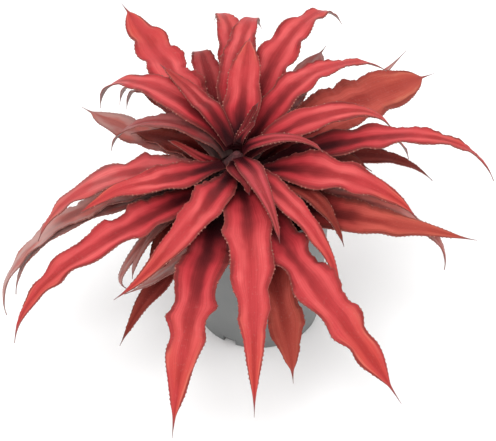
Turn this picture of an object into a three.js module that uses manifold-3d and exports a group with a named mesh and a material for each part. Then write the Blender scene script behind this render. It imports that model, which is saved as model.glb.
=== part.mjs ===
// A red earth star: a rosette of long waved leaves on a short stem, in a small plain pot of potting mix.
// Millimetres, +Z up. The origin is the middle of the pot's underside, and +X is the photograph's right.
import * as THREE from 'three';
import Module from 'manifold-3d';
import { mergeVertices } from 'three/addons/utils/BufferGeometryUtils.js';

// Clear space between pieces that touch
const GAP = 0.3;

// Pot
const POT_HEIGHT = 92;
const FOOT_RADIUS = 37;
const FOOT_HEIGHT = 5.4;
const WALL_FOOT_RADIUS = 38.5;
const WALL_TOP_RADIUS = 41.5;
const WALL = 1.6;
const FLOOR = 2;
const LIP_RADIUS = 43.5;
const LIP_HEIGHT = 8;
const LIP_DRAFT = 0.5;
const POT_SIDES = 60;
const DRAIN_COUNT = 6;
const DRAIN_BEARING = 242;
const DRAIN_WIDTH = 8;
const DRAIN_HEIGHT = 3.4;
const DRAIN_INNER_RADIUS = 31;

// Potting mix, and the stem that stands in it
const MIX_LEVEL = 80;
const MIX_MOUND = 4;
const SLOPE_RADIUS = 0.6;
const SLOPE_RISE = 0.7;
const PLANT_X = -12.5;
const STEM_FOOT = 58;
const STEM_FOOT_RADIUS = 8;
const CROWN_FOOT = 88;
const CROWN_RADIUS = 14;
const SHOULDER = 111;
const SHOULDER_RADIUS = 9.5;
const STEM_TOP = 121;
const STEM_TOP_RADIUS = 2;
const STEM_SIDES = 24;

// Leaves: heights of the lowest and the highest foot, and the form of every blade
const LOWEST_FOOT = 88;
const HIGHEST_FOOT = 121;
const HANDLE = 0.38;
const FOOT_WIDTH = 8;
const WIDEST = 0.3;
const TAIL_SHARE = 0.12;
const TAIL_HALF_WIDTH = 1.4;
const TIP_HALF_WIDTH = 0.5;
const CHANNEL_START = 0.15;
const CHANNEL_END = 0.4;
const NEAR_CHANNEL = 0.25;
const TIP_CHANNEL = 0.2;
const ROLLED_BY = 0.4;
const WAVE_LENGTH = 26;
const WAVE_START = 0.15;
const WAVE_FADE = 0.25;
const WAVE_LAG = 1.9;
const WAVE_TURN = 2.4;
const WAVE_DRIFT = 0.7;
const DRIFT_PACE = 0.45;
const LEAST_WAVE = 0.55;
const SCALLOP = 0.2;
const FULL_SCALLOP_WAVE = 2;
const FOOT_THICKNESS = 0.8;
const RIB_THICKNESS = 1.4;
const EDGE_THICKNESS = 0.7;
const STATION_STEP = 6.5;

// How leaves are laid on each other
const LEAF_GAP = 0.3;
const CELL = 1;
const LAY_STEPS = 200;
const LAY_COLUMNS = 14;
const LIFT_STATIONS = 50;
const LIFT_SPREAD = 0.3;
const STEEPEST = 0.3;
const RIM_BAND = 4;
const RIM_MARGIN = 2;

// Each leaf runs from the stem at `bearing` to a tip at bearing + swing, `reach` from the stem's axis and
// `tip` high. It starts at the slope `rise` and ends at the slope `dive`, down. Bearings turn
// anticlockwise seen from above: 0 is right, 90 is away, 180 is left and 270 is toward the viewer.
// `roll` turns the blade about its midrib where given, and `wave` is the height of its margin's waves.
// The list runs from the oldest and lowest leaf to the youngest and highest.
const LEAVES = [
  // Lowest ring, hanging past the pot
  { bearing: 240, swing: -12, reach: 99, tip: 40, rise: 10, dive: 60, width: 22, taper: 2, wave: 2 },
  { bearing: 222, swing: 0, reach: 68, tip: 70, rise: 0, dive: 60, width: 17, taper: 4, wave: 1 },
  { bearing: 219, swing: -2, reach: 79, tip: 60, rise: 15, dive: 130, width: 10, taper: 2, wave: 0 },
  { bearing: 223, swing: -2, reach: 78, tip: 70, rise: 5, dive: 85, width: 10, taper: 1, wave: 0 },
  { bearing: 80, swing: 5, reach: 120, tip: 40, rise: 10, dive: 70, width: 24, taper: 3, wave: 3 },
  { bearing: 355, swing: -10, reach: 124, tip: 60, rise: 10, dive: 95, width: 18, taper: 2, wave: 2 },
  { bearing: 192, swing: 4, reach: 134, tip: 45, rise: 15, dive: 85, width: 12, taper: 2, wave: 1 },
  { bearing: 288, swing: -1, reach: 107, tip: 40, rise: 5, dive: 75, width: 28, taper: 4, wave: 3 },
  { bearing: 110, swing: 0, reach: 125, tip: 35, rise: 0, dive: 70, width: 24, taper: 3, wave: 3 },
  { bearing: 28, swing: 5, reach: 128, tip: 60, rise: 10, dive: 75, width: 18, taper: 2, wave: 2 },
  { bearing: 140, swing: 0, reach: 105, tip: 20, rise: -5, dive: 70, width: 22, taper: 3, wave: 3 },
  { bearing: 24, swing: -11, reach: 120, tip: 78, rise: 10, dive: 50, width: 20, taper: 2, roll: 15, wave: 1 },
  { bearing: 186, swing: 10, reach: 141, tip: 30, rise: 25, dive: 100, width: 20, taper: 2, wave: 2 },
  { bearing: 115, swing: 10, reach: 124, tip: 75, rise: 10, dive: 85, width: 18, taper: 2, wave: 2 },
  { bearing: 264, swing: -38, reach: 90, tip: 72, rise: 5, dive: 20, width: 20, taper: 4, roll: 35, wave: 1 },
  { bearing: 62, swing: -13, reach: 163, tip: 106, rise: 0, dive: -35, width: 20, taper: 3, roll: -15, wave: 0 },
  { bearing: 48, swing: -4, reach: 175, tip: 89, rise: 5, dive: 10, width: 30, taper: 11, roll: 22, wave: 1 },
  { bearing: 330, swing: 17, reach: 140, tip: 82, rise: -5, dive: 10, width: 28, taper: 2, roll: 15, wave: 1 },
  { bearing: 142, swing: 0, reach: 122, tip: 97, rise: 0, dive: -3, width: 20, taper: 8, wave: 1 },
  { bearing: 135, swing: 10, reach: 78, tip: 92, rise: 10, dive: 40, width: 22, taper: 4, wave: 2 },
  { bearing: 8, swing: 2, reach: 80, tip: 94, rise: 20, dive: 40, width: 26, taper: 5, wave: 1 },
  { bearing: 343, swing: -20, reach: 75, tip: 90, rise: 35, dive: 60, width: 18, taper: 2, wave: 1 },
  // Middle ring, the long waved leaves
  { bearing: 255, swing: 2, reach: 150, tip: 45, rise: 6, dive: 60, width: 26, taper: 4, wave: 4 },
  { bearing: 65, swing: 0, reach: 132, tip: 112, rise: 14, dive: 0, width: 26, taper: 7, roll: -20, wave: 2 },
  { bearing: 18, swing: -9, reach: 155, tip: 80, rise: 15, dive: 70, width: 24, taper: 2, wave: 2 },
  { bearing: 124, swing: 3, reach: 125, tip: 80, rise: 15, dive: 80, width: 16, taper: 2, wave: 1 },
  { bearing: 106, swing: -3, reach: 113, tip: 103, rise: 20, dive: 85, width: 20, taper: 3, wave: 1 },
  { bearing: 222, swing: -7, reach: 150, tip: 55, rise: 2, dive: 80, width: 26, taper: 2, wave: 3 },
  { bearing: 182, swing: 16, reach: 118, tip: 86, rise: 14, dive: 65, width: 22, taper: 2, roll: -10, wave: 3 },
  { bearing: 84, swing: 12, reach: 151, tip: 110, rise: 25, dive: 55, width: 27, taper: 2, wave: 1 },
  { bearing: 285, swing: 20, reach: 154, tip: 50, rise: 8, dive: 50, width: 24, taper: 6, wave: 4 },
  { bearing: 120, swing: -2, reach: 157, tip: 131, rise: 10, dive: 0, width: 24, taper: 8, wave: 3 },
  { bearing: 80, swing: -15, reach: 158, tip: 112, rise: 28, dive: 60, width: 27, taper: 2, wave: 4 },
  { bearing: 348, swing: -2, reach: 106, tip: 90, rise: 12, dive: 55, width: 28, taper: 2, roll: 15, wave: 2 },
  { bearing: 278, swing: -4, reach: 138, tip: 52, rise: 15, dive: 65, width: 30, taper: 2, wave: 2 },
  { bearing: 170, swing: -12, reach: 43, tip: 117, rise: 0, dive: 10, width: 8, taper: 2, wave: 0 },
  { bearing: 126, swing: 30, reach: 82, tip: 96, rise: 60, dive: 85, width: 21, taper: 2, wave: 1 },
  // Upper ring
  { bearing: 256, swing: -26, reach: 104, tip: 82, rise: 0, dive: 25, width: 24, taper: 2, wave: 2 },
  { bearing: 206, swing: -5, reach: 97, tip: 103, rise: 2, dive: 20, width: 23, taper: 2, roll: -8, wave: 2 },
  { bearing: 60, swing: -15, reach: 130, tip: 112, rise: 25, dive: 45, width: 22, taper: 2, wave: 2 },
  { bearing: 95, swing: -11, reach: 145, tip: 108, rise: 28, dive: 50, width: 24, taper: 2, wave: 1 },
  { bearing: 127, swing: 11, reach: 114, tip: 95, rise: 43, dive: 88, width: 27, taper: 2, wave: 1 },
  { bearing: 299, swing: 8, reach: 94, tip: 76, rise: 22, dive: 80, width: 17, taper: 2, wave: 1 },
  { bearing: 24, swing: 0, reach: 101, tip: 105, rise: 31, dive: 65, width: 21, taper: 2, roll: 10, wave: 1 },
  { bearing: 84, swing: 1, reach: 86, tip: 140, rise: 35, dive: 20, width: 22, taper: 3, wave: 1 },
  { bearing: 125, swing: 0, reach: 80, tip: 135, rise: 25, dive: -5, width: 14, taper: 3, wave: 0 },
  // Heart
  { bearing: 274, swing: 8, reach: 34, tip: 110, rise: 5, dive: 60, width: 15, taper: 3, wave: 1 },
  { bearing: 290, swing: 0, reach: 69, tip: 110, rise: 15, dive: 60, width: 20, taper: 1, wave: 0 },
  { bearing: 5, swing: -9, reach: 49, tip: 124, rise: 50, dive: 45, width: 10, taper: 2, wave: 0 },
  { bearing: 78, swing: -24, reach: 21, tip: 144, rise: 40, dive: -55, width: 5, taper: 2, wave: 0 },
  { bearing: 60, swing: -15, reach: 15, tip: 136, rise: 50, dive: -50, width: 4, taper: 2, wave: 0 },
];

const LEAF_COLOURS = ['#b5503f', '#c04440', '#c4383f', '#b52f38'];

// Smooth step from 0 to 1 as x passes from 0 to 1
function ease(x) {
  const t = Math.min(Math.max(x, 0), 1);
  return t * t * (3 - 2 * t);
}

function heading(degrees) {
  const angle = THREE.MathUtils.degToRad(degrees);
  return new THREE.Vector3(Math.cos(angle), Math.sin(angle), 0);
}

function sloped(degrees, slope) {
  const angle = THREE.MathUtils.degToRad(slope);
  return heading(degrees).multiplyScalar(Math.cos(angle)).setZ(Math.sin(angle));
}

// The leafy crown of the stem narrows a little to its shoulder, then quickly to its top
function crownRadius(z) {
  if (z < SHOULDER) return THREE.MathUtils.mapLinear(z, CROWN_FOOT, SHOULDER, CROWN_RADIUS, SHOULDER_RADIUS);
  return THREE.MathUtils.mapLinear(z, SHOULDER, STEM_TOP, SHOULDER_RADIUS, STEM_TOP_RADIUS);
}

// The midrib is one cubic curve from the stem to the tip
function midrib(leaf, footHeight) {
  const start = heading(leaf.bearing).multiplyScalar(crownRadius(footHeight) + GAP);
  start.x += PLANT_X;
  start.z = footHeight;
  const end = heading(leaf.bearing + leaf.swing).multiplyScalar(leaf.reach);
  end.x += PLANT_X;
  end.z = leaf.tip;
  const handle = HANDLE * start.distanceTo(end);
  const out = start.clone().addScaledVector(sloped(leaf.bearing, leaf.rise), handle);
  const back = end.clone().addScaledVector(sloped(leaf.bearing + leaf.swing * 2, -leaf.dive), -handle);
  return new THREE.CubicBezierCurve3(start, out, back, end);
}

// A narrow foot, full width by `WIDEST`, and a thin tail at the tip
function halfWidth(leaf, t) {
  const width = THREE.MathUtils.lerp(Math.min(FOOT_WIDTH, leaf.width), leaf.width, ease(t / WIDEST));
  const blade = width / 2 * (1 - Math.min(t / (1 - TAIL_SHARE / 2), 1) ** leaf.taper);
  const tail = THREE.MathUtils.lerp(TIP_HALF_WIDTH, TAIL_HALF_WIDTH, Math.min((1 - t) / TAIL_SHARE, 1));
  return Math.max(blade, tail);
}

function thickness(t, across) {
  const rib = THREE.MathUtils.lerp(FOOT_THICKNESS, RIB_THICKNESS, ease(t / WIDEST));
  return THREE.MathUtils.lerp(rib, EDGE_THICKNESS, Math.abs(across));
}

// The blade's middle surface: its point and upward normal at t from foot to tip, and `across` from -1 to 1.
// It is channelled along the midrib, and its margins are waved.
function bladeOf(leaf, curve, index) {
  const waves = curve.getLength() / WAVE_LENGTH;
  return (t, across) => {
    const along = curve.getTangent(t);
    const side = heading(leaf.bearing + leaf.swing * t + 90);
    side.addScaledVector(along, -side.dot(along)).normalize();
    const roll = THREE.MathUtils.degToRad((leaf.roll ?? 0) * ease(t / ROLLED_BY));
    side.applyAxisAngle(along, roll);
    const up = new THREE.Vector3().crossVectors(along, side);
    const even = 2 * Math.PI * waves * t + index * WAVE_TURN + (across > 0 ? WAVE_LAG : 0);
    const turn = even + WAVE_DRIFT * Math.sin(even * DRIFT_PACE + index);
    const gust = THREE.MathUtils.lerp(LEAST_WAVE, 1, Math.sin(even * DRIFT_PACE / 2) ** 2);
    const swell = ease((t - WAVE_START) / WAVE_FADE) * gust * halfWidth(leaf, t) * 2 / leaf.width;
    const scallop = SCALLOP * Math.min(leaf.wave / FULL_SCALLOP_WAVE, 1) * swell * Math.cos(turn);
    const offset = across * halfWidth(leaf, t) * (1 + scallop);
    const flattening = ease((t - CHANNEL_START) / (CHANNEL_END - CHANNEL_START));
    const depth = ease(t / CHANNEL_START) * THREE.MathUtils.lerp(NEAR_CHANNEL, TIP_CHANNEL, flattening);
    const channel = Math.abs(offset) * depth;
    const ripple = leaf.wave * swell * across * across * Math.sin(turn);
    const point = curve.getPoint(t).addScaledVector(side, offset).addScaledVector(up, channel + ripple);
    return { point, up };
  };
}

// Each leaf lies on those below it. `tops` holds the highest surface so far, in square cells seen from
// above, and a new leaf is lifted, in a smooth bulge along its length, where it would come too low.
const tops = new Map();
const cellOf = (x, y) => `${Math.round(x / CELL)},${Math.round(y / CELL)}`;

function raiseTop(x, y, z) {
  const cell = cellOf(x, y);
  tops.set(cell, Math.max(tops.get(cell) ?? -Infinity, z));
}

function overBlade(blade, visit) {
  for (let i = 0; i <= LAY_STEPS; i += 1) {
    for (let k = -LAY_COLUMNS; k <= LAY_COLUMNS; k += 1) {
      const across = k / LAY_COLUMNS;
      const { point, up } = blade(i / LAY_STEPS, across);
      visit(i / LAY_STEPS, point, thickness(i / LAY_STEPS, across) / 2 / Math.max(Math.abs(up.z), STEEPEST));
    }
  }
}

function liftedBlade(blade) {
  const needs = new Array(LIFT_STATIONS + 1).fill(0);
  overBlade(blade, (t, point, half) => {
    const top = tops.get(cellOf(point.x, point.y)) ?? -Infinity;
    const i = Math.round(t * LIFT_STATIONS);
    needs[i] = Math.max(needs[i], top + LEAF_GAP - (point.z - half));
  });
  const lifts = needs.map((_, j) => Math.max(...needs.map((need, i) => {
    const x = Math.min(Math.abs(i - j) / LIFT_STATIONS / LIFT_SPREAD, 1);
    return need * (1 - x * x) ** 2;
  })));
  return (t, across) => {
    const { point, up } = blade(t, across);
    const j = Math.min(Math.floor(t * LIFT_STATIONS), LIFT_STATIONS - 1);
    point.z += THREE.MathUtils.lerp(lifts[j], lifts[j + 1], t * LIFT_STATIONS - j);
    return { point, up };
  };
}

function coverWith(blade) {
  overBlade(blade, (t, point, half) => raiseTop(point.x, point.y, point.z + half));
}

// The mix and the pot's rim are the first surface
const rimReach = LIP_RADIUS + RIM_MARGIN;
for (let x = -rimReach; x <= rimReach; x += CELL) {
  for (let y = -rimReach; y <= rimReach; y += CELL) {
    const radius = Math.hypot(x, y);
    const height = radius > WALL_TOP_RADIUS - RIM_BAND ? POT_HEIGHT : MIX_LEVEL + MIX_MOUND;
    if (radius <= rimReach) raiseTop(x, y, height);
  }
}

// A closed blade: three points across on each face, split alike above and below
function bladeGeometry(blade, stations) {
  const positions = [];
  for (let i = 0; i <= stations; i += 1) {
    const t = i / stations;
    for (const face of [1, -1]) {
      for (const across of [-1, 0, 1]) {
        const { point, up } = blade(t, across);
        point.addScaledVector(up, face * thickness(t, across) / 2);
        positions.push(point.x, point.y, point.z);
      }
    }
  }
  const triangles = [];
  const quad = (a, b, c, d) => triangles.push(a, b, c, a, c, d);
  for (let i = 0; i < stations; i += 1) {
    const here = i * 6;
    const next = here + 6;
    for (const k of [0, 1]) {
      quad(here + k, next + k, next + k + 1, here + k + 1);
      triangles.push(here + 3 + k, next + 4 + k, next + 3 + k, here + 3 + k, here + 4 + k, next + 4 + k);
    }
    quad(here + 3, next + 3, next, here);
    quad(here + 2, next + 2, next + 5, here + 5);
  }
  const last = stations * 6;
  quad(0, 1, 4, 3);
  quad(1, 2, 5, 4);
  quad(last + 1, last, last + 3, last + 4);
  quad(last + 2, last + 1, last + 4, last + 5);
  const geometry = new THREE.BufferGeometry();
  geometry.setAttribute('position', new THREE.Float32BufferAttribute(positions, 3));
  geometry.setIndex(triangles);
  return geometry;
}

function makeMesh(name, geometry, color, roughness) {
  geometry.computeVertexNormals();
  const mesh = new THREE.Mesh(geometry, new THREE.MeshStandardMaterial({ color, roughness, metalness: 0 }));
  mesh.name = name;
  return mesh;
}

function turned(profile, sides) {
  const geometry = new THREE.LatheGeometry(profile.map(([r, z]) => new THREE.Vector2(r, z)), sides);
  return geometry.rotateX(Math.PI / 2);
}

const wasm = await Module();
wasm.setup();

function toSolid(geometry) {
  const bare = geometry.clone();
  bare.deleteAttribute('normal');
  bare.deleteAttribute('uv');
  const merged = mergeVertices(bare);
  const vertProperties = Float32Array.from(merged.attributes.position.array);
  const triVerts = Uint32Array.from(merged.index.array);
  return new wasm.Manifold(new wasm.Mesh({ numProp: 3, vertProperties, triVerts }));
}

function toGeometry(solid) {
  const { vertProperties, triVerts } = solid.getMesh();
  const geometry = new THREE.BufferGeometry();
  geometry.setAttribute('position', new THREE.BufferAttribute(vertProperties, 3));
  geometry.setIndex(new THREE.BufferAttribute(triVerts, 1));
  return geometry;
}

// The pot: a thin tapered shell with a plain lip and a stepped foot, notched round its edge for draining
function makePot() {
  const lipFoot = POT_HEIGHT - LIP_HEIGHT;
  let shell = toSolid(turned([
    [0, 0],
    [FOOT_RADIUS, 0],
    [FOOT_RADIUS, FOOT_HEIGHT],
    [WALL_FOOT_RADIUS, FOOT_HEIGHT + 1],
    [WALL_TOP_RADIUS, lipFoot],
    [LIP_RADIUS - LIP_DRAFT, lipFoot],
    [LIP_RADIUS, POT_HEIGHT],
    [WALL_TOP_RADIUS - WALL / 2, POT_HEIGHT],
    [WALL_TOP_RADIUS - WALL, lipFoot],
    [WALL_FOOT_RADIUS - WALL, FOOT_HEIGHT + 1],
    [FOOT_RADIUS - WALL, FOOT_HEIGHT],
    [FOOT_RADIUS - WALL, FLOOR],
    [0, FLOOR],
  ], POT_SIDES));
  const depth = WALL_FOOT_RADIUS - DRAIN_INNER_RADIUS;
  for (let i = 0; i < DRAIN_COUNT; i += 1) {
    const notch = new THREE.BoxGeometry(depth, DRAIN_WIDTH, 2 * DRAIN_HEIGHT);
    notch.translate(DRAIN_INNER_RADIUS + depth / 2, 0, 0);
    notch.rotateZ(THREE.MathUtils.degToRad(DRAIN_BEARING + i * 360 / DRAIN_COUNT));
    shell = shell.subtract(toSolid(notch));
  }
  return toGeometry(shell);
}

// The mix fills the pot to just under its rim and is heaped a little toward the middle
function makeMix() {
  const lipFoot = POT_HEIGHT - LIP_HEIGHT;
  const wallSlope = (WALL_TOP_RADIUS - WALL_FOOT_RADIUS) / (lipFoot - FOOT_HEIGHT - 1);
  const levelRadius = WALL_FOOT_RADIUS - WALL - GAP + wallSlope * (MIX_LEVEL - FOOT_HEIGHT - 1);
  const heap = toSolid(turned([
    [0, FLOOR + GAP],
    [FOOT_RADIUS - WALL - GAP, FLOOR + GAP],
    [FOOT_RADIUS - WALL - GAP, FOOT_HEIGHT + GAP],
    [WALL_FOOT_RADIUS - WALL - GAP, FOOT_HEIGHT + 1 + GAP],
    [levelRadius, MIX_LEVEL],
    [levelRadius * SLOPE_RADIUS, MIX_LEVEL + MIX_MOUND * SLOPE_RISE],
    [0, MIX_LEVEL + MIX_MOUND],
  ], POT_SIDES));
  const hole = turned([
    [0, STEM_FOOT - GAP],
    [STEM_FOOT_RADIUS + GAP, STEM_FOOT - GAP],
    [STEM_FOOT_RADIUS + GAP, STEM_TOP],
    [0, STEM_TOP],
  ], STEM_SIDES);
  return toGeometry(heap.subtract(toSolid(hole.translate(PLANT_X, 0, 0))));
}

function makeStem() {
  const stem = turned([
    [0, STEM_FOOT],
    [STEM_FOOT_RADIUS, STEM_FOOT],
    [STEM_FOOT_RADIUS, MIX_LEVEL + MIX_MOUND],
    [CROWN_RADIUS, CROWN_FOOT],
    [SHOULDER_RADIUS, SHOULDER],
    [STEM_TOP_RADIUS, STEM_TOP],
    [0, STEM_TOP],
  ], STEM_SIDES);
  return toGeometry(toSolid(stem.translate(PLANT_X, 0, 0)));
}

function makeLeaf(leaf, index) {
  const age = index / (LEAVES.length - 1);
  const curve = midrib(leaf, THREE.MathUtils.lerp(LOWEST_FOOT, HIGHEST_FOOT, age));
  const blade = liftedBlade(bladeOf(leaf, curve, index));
  coverWith(blade);
  const stations = Math.round(curve.getLength() / STATION_STEP);
  const colour = LEAF_COLOURS[Math.round(age * (LEAF_COLOURS.length - 1))];
  return makeMesh(`leaf_${String(index + 1).padStart(2, '0')}`, bladeGeometry(blade, stations), colour, 0.5);
}

const plant = new THREE.Group();
plant.add(makeMesh('pot', makePot(), '#6f6f6e', 0.6));
plant.add(makeMesh('potting_mix', makeMix(), '#3a2a20', 0.95));
plant.add(makeMesh('stem', makeStem(), '#5a2a26', 0.8));
LEAVES.forEach((leaf, index) => plant.add(makeLeaf(leaf, index)));

export default plant;
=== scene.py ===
import math
import random
from collections import namedtuple

import bmesh
import bpy
import numpy as np
from mathutils import Matrix, Vector, noise


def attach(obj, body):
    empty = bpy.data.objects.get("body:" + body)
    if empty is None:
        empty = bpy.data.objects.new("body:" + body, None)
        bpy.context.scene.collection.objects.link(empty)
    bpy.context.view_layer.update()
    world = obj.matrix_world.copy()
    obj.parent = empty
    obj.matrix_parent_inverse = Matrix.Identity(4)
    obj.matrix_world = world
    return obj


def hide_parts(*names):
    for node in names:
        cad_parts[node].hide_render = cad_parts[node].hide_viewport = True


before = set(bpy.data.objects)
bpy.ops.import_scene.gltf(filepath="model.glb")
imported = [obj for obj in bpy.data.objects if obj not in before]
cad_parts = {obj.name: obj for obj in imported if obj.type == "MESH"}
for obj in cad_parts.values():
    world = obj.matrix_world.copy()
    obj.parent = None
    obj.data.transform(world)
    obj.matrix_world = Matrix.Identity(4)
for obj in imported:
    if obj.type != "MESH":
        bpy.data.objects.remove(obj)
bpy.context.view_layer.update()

# The pot is one thin shell of grey plastic, injection moulded: a tapered wall with a plain lip,
# and a narrower foot with drain notches moulded into its edge. It stands on its foot.
POT_HEIGHT = 92.0
FOOT_RADIUS = 37
FOOT_HEIGHT = 5.4
WALL_FOOT_RADIUS = 38.5
WALL_TOP_RADIUS = 41.5
WALL = 1.6
FLOOR = 2.0
LIP_RADIUS = 43.5
LIP_HEIGHT = 8.0
LIP_DRAFT = 0.5
POT_SIDES = 120
POT_EDGE = 0.45
SHARP_EDGE = 25
DRAIN_COUNT = 6
DRAIN_BEARING = 242.0
DRAIN_WIDTH = 8.0
DRAIN_HEIGHT = 3.4
DRAIN_INNER_RADIUS = 31.0
MM = 0.001


def linear(red, green, blue):
    """A colour measured on screen, 0 to 255, as linear light with full alpha."""
    def one(v):
        v = v / 255.0
        return v / 12.92 if v <= 0.04045 else ((v + 0.055) / 1.055) ** 2.4
    return (one(red), one(green), one(blue), 1.0)


def finished(name, bm, material, slot, *nodes):
    """Turns a bmesh in millimetres into a piece that rides on the pot's body and stands for CAD nodes."""
    bmesh.ops.scale(bm, vec=(MM, MM, MM), verts=bm.verts)
    mesh = bpy.data.meshes.new(name)
    bm.to_mesh(mesh)
    bm.free()
    for face in mesh.polygons:
        face.use_smooth = True
    mesh.materials.append(material)
    piece = bpy.data.objects.new(name, mesh)
    bpy.context.scene.collection.objects.link(piece)
    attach(piece, "root")
    if nodes:
        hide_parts(*nodes)
    return piece


def turned(profile, sides):
    """A closed turned solid from a profile of (radius, height) that starts and ends on the axis."""
    bm = bmesh.new()
    verts = [bm.verts.new((r, 0.0, z)) for r, z in profile]
    edges = [bm.edges.new(pair) for pair in zip(verts, verts[1:])]
    bmesh.ops.spin(bm, geom=verts + edges, cent=(0, 0, 0), axis=(0, 0, 1), angle=2 * math.pi,
                   steps=sides, use_merge=True, use_duplicate=False)
    bmesh.ops.remove_doubles(bm, verts=bm.verts, dist=1e-4)
    bmesh.ops.recalc_face_normals(bm, faces=bm.faces)
    return bm


def carved(piece, bm):
    """Cuts the solid in a bmesh, in millimetres, out of a piece."""
    bmesh.ops.scale(bm, vec=(MM, MM, MM), verts=bm.verts)
    mesh = bpy.data.meshes.new("cutter")
    bm.to_mesh(mesh)
    bm.free()
    cutter = bpy.data.objects.new("cutter", mesh)
    bpy.context.scene.collection.objects.link(cutter)
    cut = piece.modifiers.new("cut", "BOOLEAN")
    cut.operation = "DIFFERENCE"
    cut.solver = "EXACT"
    cut.object = cutter
    bpy.context.view_layer.update()
    result = bpy.data.meshes.new_from_object(piece.evaluated_get(bpy.context.evaluated_depsgraph_get()))
    piece.modifiers.clear()
    piece.data = result
    bpy.data.objects.remove(cutter)


def start_material(name, roughness):
    """A node material; returns the material, its tree and its shader."""
    material = bpy.data.materials.new(name)
    material.use_nodes = True
    tree = material.node_tree
    shader = tree.nodes["Principled BSDF"]
    shader.inputs["Roughness"].default_value = roughness
    return material, tree, shader


def add_node(tree, kind, inputs=None, **settings):
    """A shader node with its settings, and its inputs set to values or linked from sockets."""
    node = tree.nodes.new(kind)
    for key, value in settings.items():
        setattr(node, key, value)
    for key, value in (inputs or {}).items():
        socket = node.inputs[key]
        if isinstance(value, bpy.types.NodeSocket):
            tree.links.new(value, socket)
        else:
            socket.default_value = value
    return node


def sums(tree, operation, first, second=None, third=None, clamp=False):
    """The output of one Math node."""
    given = {i: v for i, v in enumerate((first, second, third)) if v is not None}
    return add_node(tree, "ShaderNodeMath", given, operation=operation, use_clamp=clamp).outputs[0]


def blend_colours(tree, amount, first, second, how="MIX"):
    """The output of one colour Mix node: `first`, with `second` over it by `amount`."""
    node = add_node(tree, "ShaderNodeMix", data_type="RGBA", blend_type=how)
    for socket, value in ((node.inputs[0], amount), (node.inputs[6], first), (node.inputs[7], second)):
        if isinstance(value, bpy.types.NodeSocket):
            tree.links.new(value, socket)
        else:
            socket.default_value = value
    return node.outputs[2]


def ramp(tree, factor, stops, smooth="EASE"):
    """A colour ramp from (place, colour) stops."""
    node = add_node(tree, "ShaderNodeValToRGB", {0: factor})
    node.color_ramp.interpolation = smooth
    elements = node.color_ramp.elements
    while len(elements) < len(stops):
        elements.new(0.5)
    for element, (place, colour) in zip(elements, stops):
        element.position = place
        element.color = colour
    return node.outputs[0]


def between(tree, value, low, high, to_low=0.0, to_high=1.0):
    """A smooth step of a value from one range to another."""
    node = add_node(tree, "ShaderNodeMapRange", {0: value, 1: low, 2: high, 3: to_low, 4: to_high},
                    interpolation_type="SMOOTHSTEP")
    return node.outputs[0]


def grain_group():
    """Cloudy patches, small specks and fine height: the grain, dust and scurf of every finish."""
    group = bpy.data.node_groups.new("fine_grain", "ShaderNodeTree")
    for name, default in (("Coarse", 120.0), ("Fine", 1500.0), ("Seed", 0.0)):
        socket = group.interface.new_socket(name, in_out="INPUT", socket_type="NodeSocketFloat")
        socket.default_value = default
    group.interface.new_socket("Place", in_out="INPUT", socket_type="NodeSocketVector")
    for name in ("Cloud", "Speck", "Height"):
        group.interface.new_socket(name, in_out="OUTPUT", socket_type="NodeSocketFloat")
    given = group.nodes.new("NodeGroupInput")
    made = group.nodes.new("NodeGroupOutput")
    shared = {"Vector": given.outputs["Place"], "W": given.outputs["Seed"]}
    cloud = add_node(group, "ShaderNodeTexNoise",
                     {**shared, "Scale": given.outputs["Coarse"], "Detail": 4.0}, noise_dimensions="4D")
    fine = add_node(group, "ShaderNodeTexNoise",
                    {**shared, "Scale": given.outputs["Fine"], "Detail": 2.0}, noise_dimensions="4D")
    group.links.new(between(group, cloud.outputs["Fac"], 0.3, 0.7), made.inputs["Cloud"])
    group.links.new(between(group, fine.outputs["Fac"], 0.58, 0.7), made.inputs["Speck"])
    group.links.new(fine.outputs["Fac"], made.inputs["Height"])
    return group


FINE_GRAIN = grain_group()


def grain(tree, place, coarse, fine, seed=0.0):
    """One use of the fine grain group; returns its cloud, speck and height outputs."""
    node = tree.nodes.new("ShaderNodeGroup")
    node.node_tree = FINE_GRAIN
    tree.links.new(place, node.inputs["Place"])
    for name, value in (("Coarse", coarse), ("Fine", fine), ("Seed", seed)):
        if isinstance(value, bpy.types.NodeSocket):
            tree.links.new(value, node.inputs[name])
        else:
            node.inputs[name].default_value = value
    return node.outputs["Cloud"], node.outputs["Speck"], node.outputs["Height"]


def grey_plastic():
    material, tree, shader = start_material("grey_plastic", 0.5)
    place = add_node(tree, "ShaderNodeTexCoord").outputs["Object"]
    cloud, speck, height = grain(tree, place, 60.0, 2600.0)
    colour = blend_colours(tree, cloud, linear(108, 110, 110), linear(118, 120, 119))
    colour = blend_colours(tree, sums(tree, "MULTIPLY", speck, 0.12), colour, linear(150, 148, 142))
    tree.links.new(colour, shader.inputs["Base Color"])
    tree.links.new(between(tree, cloud, 0.0, 1.0, 0.44, 0.56), shader.inputs["Roughness"])
    bump = add_node(tree, "ShaderNodeBump", {"Height": height, "Distance": 0.00005, "Strength": 0.5})
    tree.links.new(bump.outputs[0], shader.inputs["Normal"])
    return material


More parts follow.
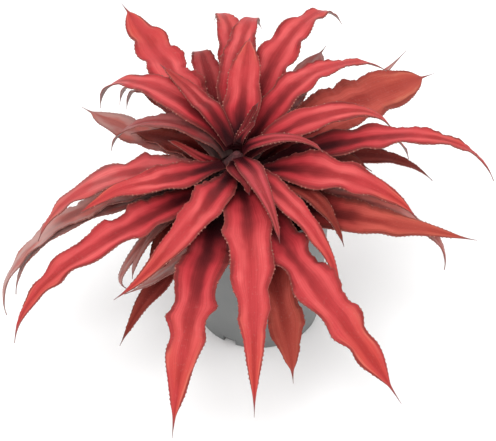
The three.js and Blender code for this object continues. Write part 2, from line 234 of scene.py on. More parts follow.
lip_foot = POT_HEIGHT - LIP_HEIGHT
shell = turned([
    (0, 0),
    (FOOT_RADIUS, 0),
    (FOOT_RADIUS, FOOT_HEIGHT),
    (WALL_FOOT_RADIUS, FOOT_HEIGHT + 1),
    (WALL_TOP_RADIUS, lip_foot),
    (LIP_RADIUS - LIP_DRAFT, lip_foot),
    (LIP_RADIUS, POT_HEIGHT),
    (WALL_TOP_RADIUS - WALL / 2, POT_HEIGHT),
    (WALL_TOP_RADIUS - WALL, lip_foot),
    (WALL_FOOT_RADIUS - WALL, FOOT_HEIGHT + 1),
    (FOOT_RADIUS - WALL, FOOT_HEIGHT),
    (FOOT_RADIUS - WALL, FLOOR),
    (0, FLOOR),
], POT_SIDES)
sharp = [e for e in shell.edges
         if len(e.link_faces) == 2 and e.calc_face_angle(0) > math.radians(SHARP_EDGE)]
bmesh.ops.bevel(shell, geom=sharp, offset=POT_EDGE, offset_type="OFFSET", affect="EDGES", segments=3,
                profile=0.5, material=-1, clamp_overlap=True)
pot = finished("pot_shell", shell, grey_plastic(), "pot", "pot")

notches = bmesh.new()
notch_depth = WALL_FOOT_RADIUS - DRAIN_INNER_RADIUS
for i in range(DRAIN_COUNT):
    cube = bmesh.ops.create_cube(notches, size=1.0)["verts"]
    bmesh.ops.scale(notches, vec=(notch_depth, DRAIN_WIDTH, 2 * DRAIN_HEIGHT), verts=cube)
    bmesh.ops.translate(notches, vec=(DRAIN_INNER_RADIUS + notch_depth / 2, 0, 0), verts=cube)
    turn = math.radians(DRAIN_BEARING + i * 360 / DRAIN_COUNT)
    bmesh.ops.rotate(notches, cent=(0, 0, 0), matrix=Matrix.Rotation(turn, 3, "Z"), verts=cube)
carved(pot, notches)

# The potting mix is chopped bark and peat, pressed into the pot by hand to just under its rim and
# heaped a little toward the stem. Larger chips of bark lie loose on it.
GAP = 0.3
MIX_LEVEL = 80.0
MIX_MOUND = 4.0
MIX_SIDES = 120
SLOPE_RADIUS = 0.6
SLOPE_RISE = 0.7
PLANT_X = -12.5
STEM_FOOT = 58.0
STEM_FOOT_RADIUS = 8.0
STEM_TOP = 121.0
CROWN_RINGS = 28
HOLE_SIDES = 48
LEVEL_RIM = 0.5
LUMPS = ((0.9, 0.35), (0.5, 1.1))
CHIPS = 420
CHIP_FREE = 10.5
CHIP_WALL_GAP = 3.5
CHIP_LENGTHS = (2.0, 6.0)
CHIP_WIDTHS = (1.2, 3.0)
CHIP_HEIGHTS = (0.6, 1.4)
LENGTH_SHARES = (0.7, 1.0)
WIDTH_SHARES = (0.6, 1.0)
SHADE_SHARES = (0.1, 0.9)
CHIP_TILT = 0.4
CHIP_LIFT = 0.5
CHIP_EDGE = 0.22
draws = random.Random(48)


def mix_top(radius):
    """The height of the mix at a distance from the pot's axis."""
    slope_foot = level_radius * SLOPE_RADIUS
    return float(np.interp(radius, (0, slope_foot, level_radius),
                           (MIX_LEVEL + MIX_MOUND, MIX_LEVEL + MIX_MOUND * SLOPE_RISE, MIX_LEVEL)))


def bark_and_peat():
    material, tree, shader = start_material("bark_and_peat", 0.9)
    place = add_node(tree, "ShaderNodeTexCoord").outputs["Object"]
    cloud, speck, height = grain(tree, place, 420.0, 1800.0)
    chip = add_node(tree, "ShaderNodeAttribute", attribute_name="chip").outputs["Fac"]
    crumbs = blend_colours(tree, cloud, linear(38, 26, 20), linear(78, 56, 42))
    bark = ramp(tree, sums(tree, "MULTIPLY_ADD", cloud, 0.3, chip),
                [(0.2, linear(52, 33, 24)), (0.7, linear(104, 72, 50)), (1.0, linear(136, 102, 74))])
    colour = blend_colours(tree, sums(tree, "GREATER_THAN", chip, 0.05), crumbs, bark)
    colour = blend_colours(tree, sums(tree, "MULTIPLY", speck, 0.4), colour, linear(150, 122, 94))
    tree.links.new(colour, shader.inputs["Base Color"])
    bump = add_node(tree, "ShaderNodeBump", {"Height": height, "Distance": 0.0006, "Strength": 0.8})
    tree.links.new(bump.outputs[0], shader.inputs["Normal"])
    return material


wall_slope = (WALL_TOP_RADIUS - WALL_FOOT_RADIUS) / (lip_foot - FOOT_HEIGHT - 1)
level_radius = WALL_FOOT_RADIUS - WALL - GAP + wall_slope * (MIX_LEVEL - FOOT_HEIGHT - 1)
inner_foot = FOOT_RADIUS - WALL - GAP
crown = [(r, mix_top(r)) for r in np.linspace(level_radius, 0, CROWN_RINGS)]
heap = turned([(0, FLOOR + GAP), (inner_foot, FLOOR + GAP), (inner_foot, FOOT_HEIGHT + GAP),
               (WALL_FOOT_RADIUS - WALL - GAP, FOOT_HEIGHT + 1 + GAP)] + crown, MIX_SIDES)
for v in heap.verts:
    if v.co.z > MIX_LEVEL - 0.01 and math.hypot(v.co.x, v.co.y) < level_radius - LEVEL_RIM:
        v.co.z += sum(height * noise.noise(v.co * pace) for height, pace in LUMPS)
mix_finish = bark_and_peat()
mix = finished("mix_heap", heap, mix_finish, "potting_mix", "potting_mix")
hole = turned([(0, STEM_FOOT - GAP), (STEM_FOOT_RADIUS + GAP, STEM_FOOT - GAP),
               (STEM_FOOT_RADIUS + GAP, STEM_TOP), (0, STEM_TOP)], HOLE_SIDES)
bmesh.ops.translate(hole, vec=(PLANT_X, 0, 0), verts=hole.verts)
carved(mix, hole)

chips = bmesh.new()
shade = chips.verts.layers.float.new("chip")
for _ in range(CHIPS):
    radius = math.sqrt(draws.uniform(0, 1)) * (level_radius - CHIP_WALL_GAP)
    turn = draws.uniform(0, 2 * math.pi)
    x, y = radius * math.cos(turn), radius * math.sin(turn)
    length, width, thick = (draws.uniform(*span) for span in (CHIP_LENGTHS, CHIP_WIDTHS, CHIP_HEIGHTS))
    spun = Matrix.Rotation(draws.uniform(0, math.pi), 3, "Z")
    tilted = spun @ Matrix.Rotation(draws.uniform(-CHIP_TILT, CHIP_TILT), 3, "Y")
    shade_share = draws.uniform(*SHADE_SHARES)
    if math.hypot(x - PLANT_X, y) < CHIP_FREE + length / 2:
        continue
    cube = bmesh.ops.create_cube(chips, size=1.0)["verts"]
    for v in cube:
        v.co = Vector((v.co.x * length * draws.uniform(*LENGTH_SHARES),
                       v.co.y * width * draws.uniform(*WIDTH_SHARES), v.co.z * thick))
        v.co = tilted @ v.co + Vector((x, y, mix_top(radius) + CHIP_LIFT))
        v[shade] = shade_share
bmesh.ops.bevel(chips, geom=chips.edges[:], offset=CHIP_EDGE, offset_type="OFFSET", affect="EDGES",
                segments=2, profile=0.5, material=-1, clamp_overlap=True)
finished("bark_chips", chips, mix_finish, "potting_mix")

# The stem is one short woody stalk, which stands in a hole in the mix. The dried bases of the leaves that
# it has dropped cover it in low overlapping scales, darkest at its top among the youngest leaves.
CROWN_FOOT = 88.0
CROWN_RADIUS = 14
SHOULDER = 111
SHOULDER_RADIUS = 9.5
STEM_TOP_RADIUS = 2
STEM_SIDES = 144
SCALES_ROUND = 9
SCALE_HEIGHT = 3.2
SCALE_DEPTH = 0.55
SCALE_POINT = 0.7
SCALE_CURVE = 1.5
FOOT_STEP = 2.0
NECK_STEP = 0.4
CROWN_STEP = 0.25


def crown_radius(z):
    if z < SHOULDER:
        return float(np.interp(z, (CROWN_FOOT, SHOULDER), (CROWN_RADIUS, SHOULDER_RADIUS)))
    return float(np.interp(z, (SHOULDER, STEM_TOP), (SHOULDER_RADIUS, STEM_TOP_RADIUS)))


def scale_cut(angle, z):
    """How deep the surface lies under the tip of its scale: scales are pointed and stand in a spiral."""
    round_turn = angle / (2 * math.pi) * SCALES_ROUND
    row = z / SCALE_HEIGHT + 0.5 * (math.floor(round_turn) % 2)
    point = SCALE_POINT * abs(2 * (round_turn % 1.0) - 1)
    return SCALE_DEPTH * (1 - (row + point) % 1.0) ** SCALE_CURVE


def scaly_stem():
    material, tree, shader = start_material("scaly_stem", 0.75)
    place = add_node(tree, "ShaderNodeTexCoord").outputs["Object"]
    cloud, speck, height = grain(tree, place, 300.0, 1600.0)
    rise = add_node(tree, "ShaderNodeSeparateXYZ", {0: place}).outputs["Z"]
    woody = blend_colours(tree, cloud, linear(92, 58, 44), linear(124, 86, 66))
    fresh = blend_colours(tree, cloud, linear(48, 16, 20), linear(86, 30, 34))
    colour = blend_colours(tree, between(tree, rise, 0.084, 0.1), woody, fresh)
    colour = blend_colours(tree, sums(tree, "MULTIPLY", speck, 0.3), colour, linear(150, 112, 104))
    tree.links.new(colour, shader.inputs["Base Color"])
    bump = add_node(tree, "ShaderNodeBump", {"Height": height, "Distance": 0.0004, "Strength": 0.7})
    tree.links.new(bump.outputs[0], shader.inputs["Normal"])
    return material


mound_top = MIX_LEVEL + MIX_MOUND
stem_sides = [(STEM_FOOT_RADIUS, z) for z in np.arange(STEM_FOOT, mound_top, FOOT_STEP)]
stem_sides += [(float(np.interp(z, (mound_top, CROWN_FOOT), (STEM_FOOT_RADIUS, CROWN_RADIUS))), z)
               for z in np.arange(mound_top, CROWN_FOOT, NECK_STEP)]
stem_sides += [(crown_radius(z), z) for z in np.arange(CROWN_FOOT, STEM_TOP + 0.01, CROWN_STEP)]
stalk = turned([(0, STEM_FOOT)] + stem_sides + [(0, STEM_TOP)], STEM_SIDES)
for v in stalk.verts:
    radius = math.hypot(v.co.x, v.co.y)
    if v.co.z > CROWN_FOOT and radius > 0.1:
        angle = math.atan2(v.co.y, v.co.x) % (2 * math.pi)
        share = 1 - scale_cut(angle, v.co.z) / max(radius, STEM_TOP_RADIUS)
        v.co.x *= share
        v.co.y *= share
bmesh.ops.translate(stalk, vec=(PLANT_X, 0, 0), verts=stalk.verts)
finished("stem_stalk", stalk, scaly_stem(), "stem", "stem")

# The leaves grow from a short stem, youngest at the top. Each is one stiff fleshy blade, about
# a millimetre thick, channelled near its foot and waved along its margins, which are set with
# small soft teeth. Its upper face is red and its under face is covered with grey scurf.
LEAF_GAP = 0.3
LOWEST_FOOT = 88.0
HIGHEST_FOOT = 121
HANDLE = 0.38
FOOT_WIDTH = 8
WIDEST = 0.3
TAIL_SHARE = 0.12
TAIL_HALF_WIDTH = 1.4
TIP_HALF_WIDTH = 0.5
CHANNEL_START = 0.15
CHANNEL_END = 0.4
NEAR_CHANNEL = 0.25
TIP_CHANNEL = 0.2
ROLLED_BY = 0.4
WAVE_LENGTH = 26.0
WAVE_START = 0.15
WAVE_FADE = 0.25
WAVE_LAG = 1.9
WAVE_TURN = 2.4
WAVE_DRIFT = 0.7
DRIFT_PACE = 0.45
LEAST_WAVE = 0.55
SCALLOP = 0.2
FULL_SCALLOP_WAVE = 2.0
FOOT_THICKNESS = 0.8
RIB_THICKNESS = 1.4
EDGE_THICKNESS = 0.7
LAY_STEPS = 200
LAY_COLUMNS = 14
LIFT_STATIONS = 50
LIFT_SPREAD = 0.3
STEEPEST = 0.3
RIM_BAND = 4.0
RIM_MARGIN = 2.0
CELL_SPAN = 400
CREASE_WIDTH = 0.16
CRIMP_FROM = 0.55
CRIMP_START = 0.1
CRIMP_LENGTH = 7.5
CRIMP_SECOND = 0.4
CRIMP_SECOND_PACE = 1.64
CRIMP_SECOND_LAG = 1.3
CRIMP_HEIGHT = 0.55
CRIMP_SPREAD = 0.3
CRIMP_SIDE_LAG = 5.0
CRIMP_LEAF_LAG = 7.0
LEAST_CRIMP = 0.4
CRIMP_FOR_WAVE = 0.3
PUFF = 0.55
PUFF_LENGTH = 19.0
FINE_STEP = 0.8
LEAST_STATIONS = 12
COLUMNS = 14
TOOTH_STATIONS = 3
TOOTH_LENGTH = 0.6
SHARP_TEETH = (0.2, 1.0)
DULL_TEETH = (0.0, 0.15)
TEETH_FROM = 0.04
TEETH_TO = 0.9
TIP_POINT = 0.2
TIP_START = 0.9
LEAST_TIP_THICKNESS = 0.4
SEEDS = 40
LAYERS = ("across", "along", "run", "under", "tooth", "seed", "foot_and_shade_reach", "dust", "painted_shade")

# Bearing, swing, reach, tip height, rise, dive, width, taper, wave height and roll of each leaf, in
# millimetres and degrees, from the oldest and lowest to the youngest.
Leaf = namedtuple("Leaf", "bearing swing reach tip rise dive width taper wave roll", defaults=(0,))
LEAVES = [
    # Lowest ring, hanging past the pot
    Leaf(240, -12, 99, 40, 10, 60, 22, 2, 2),
    Leaf(222, 0, 68, 70, 0, 60, 17, 4, 1),
    Leaf(219, -2, 79, 60, 15, 130, 10, 2, 0),
    Leaf(223, -2, 78, 70, 5, 85, 10, 1, 0),
    Leaf(80, 5, 120, 40, 10, 70, 24, 3, 3),
    Leaf(355, -10, 124, 60, 10, 95, 18, 2, 2),
    Leaf(192, 4, 134, 45, 15, 85, 12, 2, 1),
    Leaf(288, -1, 107, 40, 5, 75, 28, 4, 3),
    Leaf(110, 0, 125, 35, 0, 70, 24, 3, 3),
    Leaf(28, 5, 128, 60, 10, 75, 18, 2, 2),
    Leaf(140, 0, 105, 20, -5, 70, 22, 3, 3),
    Leaf(24, -11, 120, 78, 10, 50, 20, 2, 1, 15),
    Leaf(186, 10, 141, 30, 25, 100, 20, 2, 2),
    Leaf(115, 10, 124, 75, 10, 85, 18, 2, 2),
    Leaf(264, -38, 90, 72, 5, 20, 20, 4, 1, 35),
    Leaf(62, -13, 163, 106, 0, -35, 20, 3, 0, -15),
    Leaf(48, -4, 175, 89, 5, 10, 30, 11, 1, 22),
    Leaf(330, 17, 140, 82, -5, 10, 28, 2, 1, 15),
    Leaf(142, 0, 122, 97, 0, -3, 20, 8, 1),
    Leaf(135, 10, 78, 92, 10, 40, 22, 4, 2),
    Leaf(8, 2, 80, 94, 20, 40, 26, 5, 1),
    Leaf(343, -20, 75, 90, 35, 60, 18, 2, 1),
    # Middle ring, the long waved leaves
    Leaf(255, 2, 150, 45, 6, 60, 26, 4, 4),
    Leaf(65, 0, 132, 112, 14, 0, 26, 7, 2, -20),
    Leaf(18, -9, 155, 80, 15, 70, 24, 2, 2),
    Leaf(124, 3, 125, 80, 15, 80, 16, 2, 1),
    Leaf(106, -3, 113, 103, 20, 85, 20, 3, 1),
    Leaf(222, -7, 150, 55, 2, 80, 26, 2, 3),
    Leaf(182, 16, 118, 86, 14, 65, 22, 2, 3, -10),
    Leaf(84, 12, 151, 110, 25, 55, 27, 2, 1),
    Leaf(285, 20, 154, 50, 8, 50, 24, 6, 4),
    Leaf(120, -2, 157, 131, 10, 0, 24, 8, 3),
    Leaf(80, -15, 158, 112, 28, 60, 27, 2, 4),
    Leaf(348, -2, 106, 90, 12, 55, 28, 2, 2, 15),
    Leaf(278, -4, 138, 52, 15, 65, 30, 2, 2),
    Leaf(170, -12, 43, 117, 0, 10, 8, 2, 0),
    Leaf(126, 30, 82, 96, 60, 85, 21, 2, 1),
    # Upper ring
    Leaf(256, -26, 104, 82, 0, 25, 24, 2, 2),
    Leaf(206, -5, 97, 103, 2, 20, 23, 2, 2, -8),
    Leaf(60, -15, 130, 112, 25, 45, 22, 2, 2),
    Leaf(95, -11, 145, 108, 28, 50, 24, 2, 1),
    Leaf(127, 11, 114, 95, 43, 88, 27, 2, 1),
    Leaf(299, 8, 94, 76, 22, 80, 17, 2, 1),
    Leaf(24, 0, 101, 105, 31, 65, 21, 2, 1, 10),
    Leaf(84, 1, 86, 140, 35, 20, 22, 3, 1),
    Leaf(125, 0, 80, 135, 25, -5, 14, 3, 0),
    # Heart
    Leaf(274, 8, 34, 110, 5, 60, 15, 3, 1),
    Leaf(290, 0, 69, 110, 15, 60, 20, 1, 0),
    Leaf(5, -9, 49, 124, 50, 45, 10, 2, 0),
    Leaf(78, -24, 21, 144, 40, -55, 5, 2, 0),
    Leaf(60, -15, 15, 136, 50, -50, 4, 2, 0),
]


def ease(x):
    x = np.clip(x, 0.0, 1.0)
    return x * x * (3 - 2 * x)


def heading(degrees):
    angle = np.radians(np.asarray(degrees, float))
    return np.stack([np.cos(angle), np.sin(angle), np.zeros_like(angle)], -1)


def sloped(degrees, slope):
    flat = heading(degrees) * math.cos(math.radians(slope))
    flat[..., 2] = math.sin(math.radians(slope))
    return flat


def midrib(leaf, foot_height):
    """The four handles of the midrib's curve, from the stem to the tip."""
    axis = np.array((PLANT_X, 0.0, 0.0))
    start = axis + heading(leaf.bearing) * (crown_radius(foot_height) + GAP)
    start[2] = foot_height
    end = axis + heading(leaf.bearing + leaf.swing) * leaf.reach
    end[2] = leaf.tip
    handle = HANDLE * np.linalg.norm(end - start)
    out = start + sloped(leaf.bearing, leaf.rise) * handle
    back = end - sloped(leaf.bearing + leaf.swing * 2, -leaf.dive) * handle
    return np.stack((start, out, back, end))


def along_curve(handles, t):
    """Points and unit directions at t on a cubic curve."""
    t = np.asarray(t, float)[..., None]
    a, b, c, d = handles
    points = a * (1 - t) ** 3 + b * 3 * t * (1 - t) ** 2 + c * 3 * t ** 2 * (1 - t) + d * t ** 3
    slopes = (b - a) * (1 - t) ** 2 + (c - b) * 2 * t * (1 - t) + (d - c) * t ** 2
    return points, slopes / np.linalg.norm(slopes, axis=-1, keepdims=True)


def curve_length(handles):
    points, _ = along_curve(handles, np.linspace(0, 1, 201))
    return float(np.linalg.norm(np.diff(points, axis=0), axis=1).sum())


def half_width(leaf, t):
    foot = min(FOOT_WIDTH, leaf.width)
    width = foot + (leaf.width - foot) * ease(t / WIDEST)
    main = width / 2 * (1 - np.minimum(t / (1 - TAIL_SHARE / 2), 1) ** leaf.taper)
    tail = TIP_HALF_WIDTH + (TAIL_HALF_WIDTH - TIP_HALF_WIDTH) * np.minimum((1 - t) / TAIL_SHARE, 1)
    return (main ** 3 + tail ** 3) ** (1 / 3)


def thickness(t, across):
    rib = FOOT_THICKNESS + (RIB_THICKNESS - FOOT_THICKNESS) * ease(t / WIDEST)
    return rib + (EDGE_THICKNESS - rib) * np.abs(across)


def blade(leaf, handles, index, t, across, lifts=None, crisp=False):
    """Points, upward normals and sideways directions of a blade's middle surface. `crisp` rounds its fold
    and adds the fine crimping of its margins."""
    points, along = along_curve(handles, t)
    length = curve_length(handles)
    side = heading(leaf.bearing + leaf.swing * t + 90)
    side -= along * (side * along).sum(-1, keepdims=True)
    side /= np.linalg.norm(side, axis=-1, keepdims=True)
    roll = np.radians(leaf.roll) * ease(t / ROLLED_BY)[..., None]
    side = side * np.cos(roll) + np.cross(along, side) * np.sin(roll)
    up = np.cross(along, side)
    even = 2 * math.pi * length / WAVE_LENGTH * t + index * WAVE_TURN + np.where(across > 0, WAVE_LAG, 0.0)
    turn = even + WAVE_DRIFT * np.sin(even * DRIFT_PACE + index)
    gust = LEAST_WAVE + (1 - LEAST_WAVE) * np.sin(even * DRIFT_PACE / 2) ** 2
    fullness = half_width(leaf, t) * 2 / leaf.width
    swell = ease((t - WAVE_START) / WAVE_FADE) * gust * fullness
    scallop = SCALLOP * min(leaf.wave / FULL_SCALLOP_WAVE, 1) * swell * np.cos(turn)
    offset = across * half_width(leaf, t) * (1 + scallop)
    flattening = ease((t - CHANNEL_START) / (CHANNEL_END - CHANNEL_START))
    depth = ease(t / CHANNEL_START) * (NEAR_CHANNEL + (TIP_CHANNEL - NEAR_CHANNEL) * flattening)
    channel = np.abs(offset) * depth
    ripple = leaf.wave * swell * across ** 2 * np.sin(turn)
    if crisp:
        soft = CREASE_WIDTH * half_width(leaf, t)
        channel = (np.sqrt(offset ** 2 + soft ** 2) - soft) * depth
        margin = ease((np.abs(across) - CRIMP_FROM) / (1 - CRIMP_FROM)) * ease(t / CRIMP_START) * fullness
        run = t * length + np.where(across > 0, CRIMP_SIDE_LAG, 0.0) + index * CRIMP_LEAF_LAG
        puff = PUFF + (1 - PUFF) * np.sin(run / PUFF_LENGTH + index)
        pace = run * 2 * math.pi / CRIMP_LENGTH
        crimp = np.sin(pace) + CRIMP_SECOND * np.sin(pace * CRIMP_SECOND_PACE + CRIMP_SECOND_LAG)
        crimp *= puff * margin * min(LEAST_CRIMP + CRIMP_FOR_WAVE * leaf.wave, 1)
        offset = offset + np.sign(across) * CRIMP_SPREAD * crimp
        ripple = ripple + CRIMP_HEIGHT * crimp
    place = points + side * offset[..., None] + up * (channel + ripple)[..., None]
    if lifts is not None:
        place[..., 2] += np.interp(t * LIFT_STATIONS, np.arange(LIFT_STATIONS + 1), lifts)
    return place, up, side


# Leaves are laid in order of age: `tops` holds the highest surface so far in square cells, and a new
# leaf is lifted in a smooth bulge along its length where it would come too low.
tops = np.full((2 * CELL_SPAN, 2 * CELL_SPAN), -np.inf)


def cells(points):
    return (np.floor(points[..., 0] + 0.5).astype(int) + CELL_SPAN,
            np.floor(points[..., 1] + 0.5).astype(int) + CELL_SPAN)


rim_reach = LIP_RADIUS + RIM_MARGIN
for x in np.arange(-rim_reach, rim_reach + 1):
    for y in np.arange(-rim_reach, rim_reach + 1):
        radius = math.hypot(x, y)
        if radius <= rim_reach:
            top = POT_HEIGHT if radius > WALL_TOP_RADIUS - RIM_BAND else MIX_LEVEL + MIX_MOUND
            tops[int(x) + CELL_SPAN, int(y) + CELL_SPAN] = top


def laid(leaf, handles, index):
    """The lift of each station of a leaf that is laid on those before it."""
    t, across = np.meshgrid(np.arange(LAY_STEPS + 1) / LAY_STEPS,
                            np.arange(-LAY_COLUMNS, LAY_COLUMNS + 1) / LAY_COLUMNS, indexing="ij")
    points, up, _ = blade(leaf, handles, index, t, across)
    half = thickness(t, across) / 2 / np.maximum(np.abs(up[..., 2]), STEEPEST)
    needs = np.zeros(LIFT_STATIONS + 1)
    station = np.floor(t * LIFT_STATIONS + 0.5).astype(int)
    need = tops[cells(points)] + LEAF_GAP - (points[..., 2] - half)
    np.maximum.at(needs, station, need)
    away = np.abs(np.arange(LIFT_STATIONS + 1)[:, None] - np.arange(LIFT_STATIONS + 1)[None])
    x = np.minimum(away / LIFT_STATIONS / LIFT_SPREAD, 1)
    lifts = (needs[None] * (1 - x ** 2) ** 2).max(1)
    points[..., 2] += np.interp(t * LIFT_STATIONS, np.arange(LIFT_STATIONS + 1), lifts)
    np.maximum.at(tops, cells(points), points[..., 2] + half)
    return lifts


def blade_mesh(leaf, handles, index, lifts, foot_and_shade_reach, dust, painted_shade):
    """A fine closed blade: a grid laid on the leaf's under face, then raised to its upper face."""
    length = curve_length(handles)
    stations = max(int(round(length / FINE_STEP)), LEAST_STATIONS)
    bm = bmesh.new()
    bmesh.ops.create_grid(bm, x_segments=stations, y_segments=COLUMNS, size=1.0)
    flat = np.array([v.co[:2] for v in bm.verts])
    t = (flat[:, 0] + 1) / 2
    across = 1.5 * flat[:, 1] - 0.5 * flat[:, 1] ** 3
    points, up, side = blade(leaf, handles, index, t, across, lifts, crisp=True)
    step = np.round(t * stations).astype(int)
    lengths = {}
    for key in sorted(set(zip(step.tolist(), (across > 0).tolist()))):
        sharp = key[0] % TOOTH_STATIONS == 0
        lengths[key] = draws.uniform(*(SHARP_TEETH if sharp else DULL_TEETH))
    teeth = np.array([lengths[k] for k in zip(step.tolist(), (across > 0).tolist())])
    edge = (np.abs(across) > 0.999) & (t > TEETH_FROM) & (t < TEETH_TO)
    points += side * (np.sign(across) * teeth * TOOTH_LENGTH * edge)[:, None]
    narrow = 1 - (1 - TIP_POINT) * ease((t - TIP_START) / (1 - TIP_START))
    spine, _, _ = blade(leaf, handles, index, t, across * 0, lifts, crisp=True)
    points = spine + (points - spine) * narrow[:, None]
    half = up * (thickness(t, across) * np.maximum(narrow, LEAST_TIP_THICKNESS) / 2)[:, None]
    layers = [bm.verts.layers.float.new(n) for n in LAYERS]
    even = np.ones_like(t)
    values = (across, t, t * length / 100.0, even, teeth, even * draws.uniform(0, SEEDS),
              even * foot_and_shade_reach, even * dust, even * painted_shade)
    for i, v in enumerate(bm.verts):
        v.co = points[i] - half[i]
        for layer, value in zip(layers, values):
            v[layer] = value[i]
    raised = bmesh.ops.extrude_face_region(bm, geom=bm.faces[:], use_keep_orig=True)
    upper = [g for g in raised["geom"] if isinstance(g, bmesh.types.BMVert)]
    order = {(round(p[0], 5), round(p[1], 5), round(p[2], 5)): i
             for i, p in enumerate((points - half).astype(np.float32).tolist())}
    for v in upper:
        i = order[tuple(round(c, 5) for c in v.co)]
        v.co = points[i] + half[i]
        v[layers[LAYERS.index("under")]] = 0.0
    bmesh.ops.recalc_face_normals(bm, faces=bm.faces)
    return bm


LEAF_SHADE = 0.87
# The near-black foot colour is partly the leaf's own maroon and partly painted shade from the leaves above.
FOOT_AND_SHADE_COLOUR = (56, 12, 18)


def tone(red, green, blue):
    """A colour as it looks on a lit leaf, taken down to the leaf's own."""
    return linear(red * LEAF_SHADE, green * LEAF_SHADE, blue * LEAF_SHADE)


def leaf_finish(name, near, far, end, body):
    """The striped upper face, the toothed edge and the scurfy under face of a leaf. `near`, `far` and `end`
    hold the colours of its midrib, band, side and margin above its dark foot, in its middle and by its
    tip, and `body` the even red between. The bright band is partly the leaf's own red and partly painted
    highlight, and the dark foot is partly painted shade."""
    material, tree, shader = start_material(name, 0.42)

    def value(attribute):
        return add_node(tree, "ShaderNodeAttribute", attribute_name=attribute).outputs["Fac"]

    def mottle(across_scale, run_scale, detail):
        spot = add_node(tree, "ShaderNodeCombineXYZ", {0: sums(tree, "MULTIPLY", across, across_scale),
                        1: sums(tree, "MULTIPLY", run, run_scale), 2: seed}).outputs[0]
        given = {"Vector": spot, "Scale": 1.0, "Detail": detail}
        return add_node(tree, "ShaderNodeTexNoise", given).outputs["Fac"]

    def stripes(colours):
        # The band colour is partly the leaf's own red and partly painted highlight.
        midrib_colour, band, flank, margin = (tone(*c) for c in colours)
        return ramp(tree, bent, [(0.0, midrib_colour), (0.12, midrib_colour), (0.46, band), (0.58, band),
                                 (0.76, flank), (0.9, margin)])

    across, along, run, under, tooth, seed, foot_and_shade_reach, dust, painted_shade = (value(n) for n in LAYERS)
    away = sums(tree, "ABSOLUTE", across)
    streaks = mottle(15.0, 2.6, 4.0)
    wander = mottle(1.1, 5.5, 2.0)
    fine = mottle(46.0, 2.0, 2.0)
    bent = sums(tree, "MULTIPLY_ADD", sums(tree, "SUBTRACT", wander, 0.5), 0.5, away)
    bent = sums(tree, "MULTIPLY_ADD", sums(tree, "SUBTRACT", streaks, 0.5), 0.16, bent, clamp=True)
    flame = sums(tree, "MULTIPLY_ADD", away, 0.12, sums(tree, "SUBTRACT", along, foot_and_shade_reach))
    flame = sums(tree, "MULTIPLY_ADD", sums(tree, "SUBTRACT", wander, 0.5), 0.2, flame)
    colour = blend_colours(tree, between(tree, flame, 0.08, 0.36), stripes(near), stripes(far))
    # Painted shade: the foot is taken toward near black, partly its own maroon and partly the shade that
    # falls there.
    colour = blend_colours(tree, between(tree, flame, -0.1, 0.16, 1.0, 0.0), colour, tone(*FOOT_AND_SHADE_COLOUR))
    colour = blend_colours(tree, between(tree, along, 0.5, 0.85), colour, stripes(end))
    plain = between(tree, mottle(0.8, 4.2, 2.0), 0.38, 0.62, 0.1, 0.7)
    plain = sums(tree, "MULTIPLY", plain, between(tree, flame, 0.1, 0.4))
    colour = blend_colours(tree, plain, colour, tone(*body))
    place = add_node(tree, "ShaderNodeCombineXYZ", {0: sums(tree, "MULTIPLY", across, 0.10), 1: run,
                     2: 0.0}).outputs[0]
    cloud, speck, height = grain(tree, place, 9.0, 90.0, seed)
    # Fine streaks darken the red, then painted shade dims whole leaves that lie in the shade of others.
    for amount, shade in ((between(tree, fine, 0.3, 0.7, 0.0, 0.25), (150, 96, 92)),
                          (sums(tree, "MULTIPLY", painted_shade, 0.85), (132, 96, 104))):
        colour = blend_colours(tree, amount, colour, linear(*shade), "MULTIPLY")
    patches = between(tree, sums(tree, "MULTIPLY_ADD", away, 0.12, wander), 0.42, 0.66, 0.35, 1.0)
    scurf = sums(tree, "MULTIPLY", between(tree, along, 0.35, 0.75, 0.55, 1.0), patches)
    colour = blend_colours(tree, sums(tree, "MULTIPLY", dust, scurf), colour, tone(206, 172, 166))
    flecks = sums(tree, "MULTIPLY", speck, between(tree, flame, 0.05, 0.4, 0.0, 0.08))
    colour = blend_colours(tree, flecks, colour, tone(206, 176, 168))
    tip = between(tree, along, 0.9, 0.985, 0.0, 0.8)
    colour = blend_colours(tree, tip, colour, tone(112, 84, 84))
    rim = blend_colours(tree, between(tree, tooth, 0.4, 1.0), tone(150, 78, 70), tone(206, 150, 132))
    edge = sums(tree, "MULTIPLY", between(tree, away, 0.945, 0.99), between(tree, along, 0.06, 0.3, 0.3, 0.8))
    colour = blend_colours(tree, edge, colour, rim)
    back = blend_colours(tree, between(tree, streaks, 0.38, 0.62), tone(200, 184, 180), tone(166, 128, 122))
    # Painted shade: the under face darkens toward its foot along the same reach.
    back = blend_colours(tree, between(tree, flame, -0.04, 0.3, 0.9, 0.0), back, tone(66, 22, 28))
    back = blend_colours(tree, sums(tree, "MULTIPLY", speck, 0.35), back, tone(220, 212, 208))
    colour = blend_colours(tree, between(tree, under, 0.8, 1.0), colour, back)
    tree.links.new(colour, shader.inputs["Base Color"])
    rough = between(tree, streaks, 0.3, 0.7, 0.34, 0.48)
    tree.links.new(sums(tree, "MULTIPLY_ADD", under, 0.25, rough), shader.inputs["Roughness"])
    relief = sums(tree, "MULTIPLY_ADD", height, 0.35, fine)
    bump = add_node(tree, "ShaderNodeBump", {"Height": relief, "Distance": 0.00025, "Strength": 0.6})
    tree.links.new(bump.outputs[0], shader.inputs["Normal"])
    shader.inputs["Specular IOR Level"].default_value = 0.05
    return material


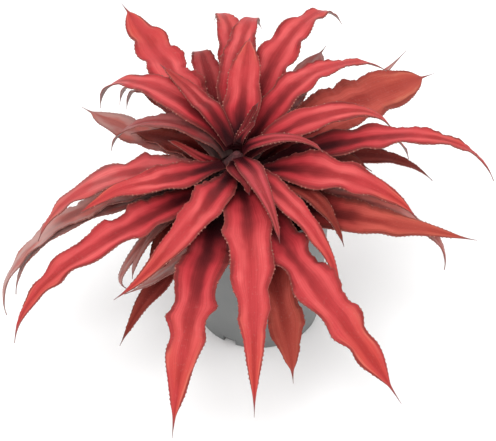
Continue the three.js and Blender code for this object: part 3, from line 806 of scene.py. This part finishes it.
# The band colour, second in each set of four, is partly the leaf's own pink-red and partly painted highlight.
leaf_red = leaf_finish("leaf_red",
                       ((142, 42, 46), (208, 60, 68), (166, 48, 52), (124, 48, 48)),
                       ((182, 58, 60), (246, 106, 106), (206, 70, 74), (144, 52, 52)),
                       ((188, 60, 56), (222, 82, 74), (236, 118, 100), (146, 60, 54)), (214, 72, 76))
leaf_orange = leaf_finish("leaf_orange",
                          ((112, 36, 34), (170, 56, 54), (138, 48, 44), (110, 48, 44)),
                          ((168, 60, 54), (226, 102, 90), (188, 78, 68), (146, 66, 58)),
                          ((182, 72, 60), (206, 92, 76), (220, 120, 96), (146, 64, 54)), (192, 80, 70))
leaf_dark = leaf_finish("leaf_dark",
                        ((124, 36, 42), (186, 56, 64), (146, 46, 52), (112, 46, 48)),
                        ((168, 56, 60), (216, 84, 92), (178, 66, 70), (134, 56, 58)),
                        ((156, 56, 56), (196, 84, 84), (164, 68, 68), (130, 58, 56)), (184, 66, 70))

# The oldest leaves are dull orange and the heart is darker. By leaf number: how much scurf lies on the
# upper face, how much painted shade dims the leaf where others shade it, and how far its dark foot
# reaches, which is partly the leaf's own maroon and partly painted shade from the leaves above.
OUTER_LEAVES = 22
HEART_FROM = 47
DUSTY = {3: 0.8, 4: 0.5, 6: 0.5, 7: 0.9, 13: 0.9, 15: 0.9, 16: 0.8, 19: 0.6, 24: 0.5, 26: 0.5, 29: 0.2,
         37: 0.3}
# Painted shade: how much each leaf is dimmed for lying in the shade of the leaves around it.
PAINTED_SHADE_BY_LEAF = {1: 0.8, 2: 0.9, 4: 0.5, 12: 0.9, 20: 0.8, 21: 0.9, 22: 0.7, 24: 0.7, 26: 0.4, 27: 0.6,
          36: 0.6, 37: 0.5, 46: 0.4, 47: 0.5, 50: 0.9, 51: 0.9}
# How far the dark foot and darker near stripes reach: partly the leaf's own colour, partly painted shade from
# leaves above.
COMMON_FOOT_AND_SHADE_REACH = 0.18
FOOT_AND_SHADE_REACH = {8: 0.26, 14: 0.3, 18: 0.3, 23: 0.36, 25: 0.3, 28: 0.2, 31: 0.3, 35: 0.18, 41: 0.2, 45: 0.22,
             47: 0.3, 48: 0.14}
for index, leaf in enumerate(LEAVES):
    age = index / (len(LEAVES) - 1)
    handles = midrib(leaf, LOWEST_FOOT + (HIGHEST_FOOT - LOWEST_FOOT) * age)
    lifts = laid(leaf, handles, index)
    number = index + 1
    if number <= OUTER_LEAVES:
        finish, slot = leaf_orange, "leaf_outer"
    elif number < HEART_FROM:
        finish, slot = leaf_red, "leaf"
    else:
        finish, slot = leaf_dark, "leaf_young"
    mesh = blade_mesh(leaf, handles, index, lifts, FOOT_AND_SHADE_REACH.get(number, COMMON_FOOT_AND_SHADE_REACH),
                      DUSTY.get(number, 0.0), PAINTED_SHADE_BY_LEAF.get(number, 0.0))
    finished(f"blade_{number:02d}", mesh, finish, slot, f"leaf_{number:02d}")

# The studio is a plain pale floor under large soft lights and a white sky. The camera stands above and
# in front, and looks down at the plant.
bpy.ops.mesh.primitive_plane_add(size=6.0, location=(0, 0, 0))
floor = bpy.context.active_object
floor.name = "studio_floor"
paint, tree, shader = start_material("pale_floor", 0.9)
shader.inputs["Base Color"].default_value = linear(250, 250, 250)
floor.data.materials.append(paint)


def soft_light(name, place, aim, size, power):
    lamp = bpy.data.lights.new(name, "AREA")
    lamp.shape = "DISK"
    lamp.size = size
    lamp.energy = power
    light = bpy.data.objects.new(name, lamp)
    light.location = place
    way = Vector(aim) - light.location
    light.rotation_euler = way.to_track_quat("-Z", "Y").to_euler()
    bpy.context.scene.collection.objects.link(light)


soft_light("key", (-0.5, -0.7, 1.3), (0, 0, 0.1), 1.1, 12.0)
soft_light("fill", (0.9, -0.3, 0.9), (0, 0, 0.1), 1.0, 4.0)
soft_light("back", (0.1, 1.0, 1.0), (0, 0, 0.1), 1.0, 3.0)

world = bpy.data.worlds.new("studio")
world.use_nodes = True
world.node_tree.nodes["Background"].inputs[0].default_value = (1, 1, 1, 1)
world.node_tree.nodes["Background"].inputs[1].default_value = 0.9
bpy.context.scene.world = world
bpy.context.scene.view_settings.view_transform = "Standard"

FOCAL_PIXELS = 1500.0
FRAME_PIXELS = 496.0
SENSOR = 36.0
CAMERA_PLACE = (-0.0062, -0.6659, 0.6528)
CAMERA_PITCH = 41.2
lens = bpy.data.cameras.new("camera")
lens.sensor_width = SENSOR
lens.lens = FOCAL_PIXELS / FRAME_PIXELS * SENSOR
lens.clip_start = 0.01
camera = bpy.data.objects.new("camera", lens)
camera.location = CAMERA_PLACE
camera.rotation_euler = (math.radians(90 - CAMERA_PITCH), 0, 0)
bpy.context.scene.collection.objects.link(camera)
bpy.context.scene.camera = camera
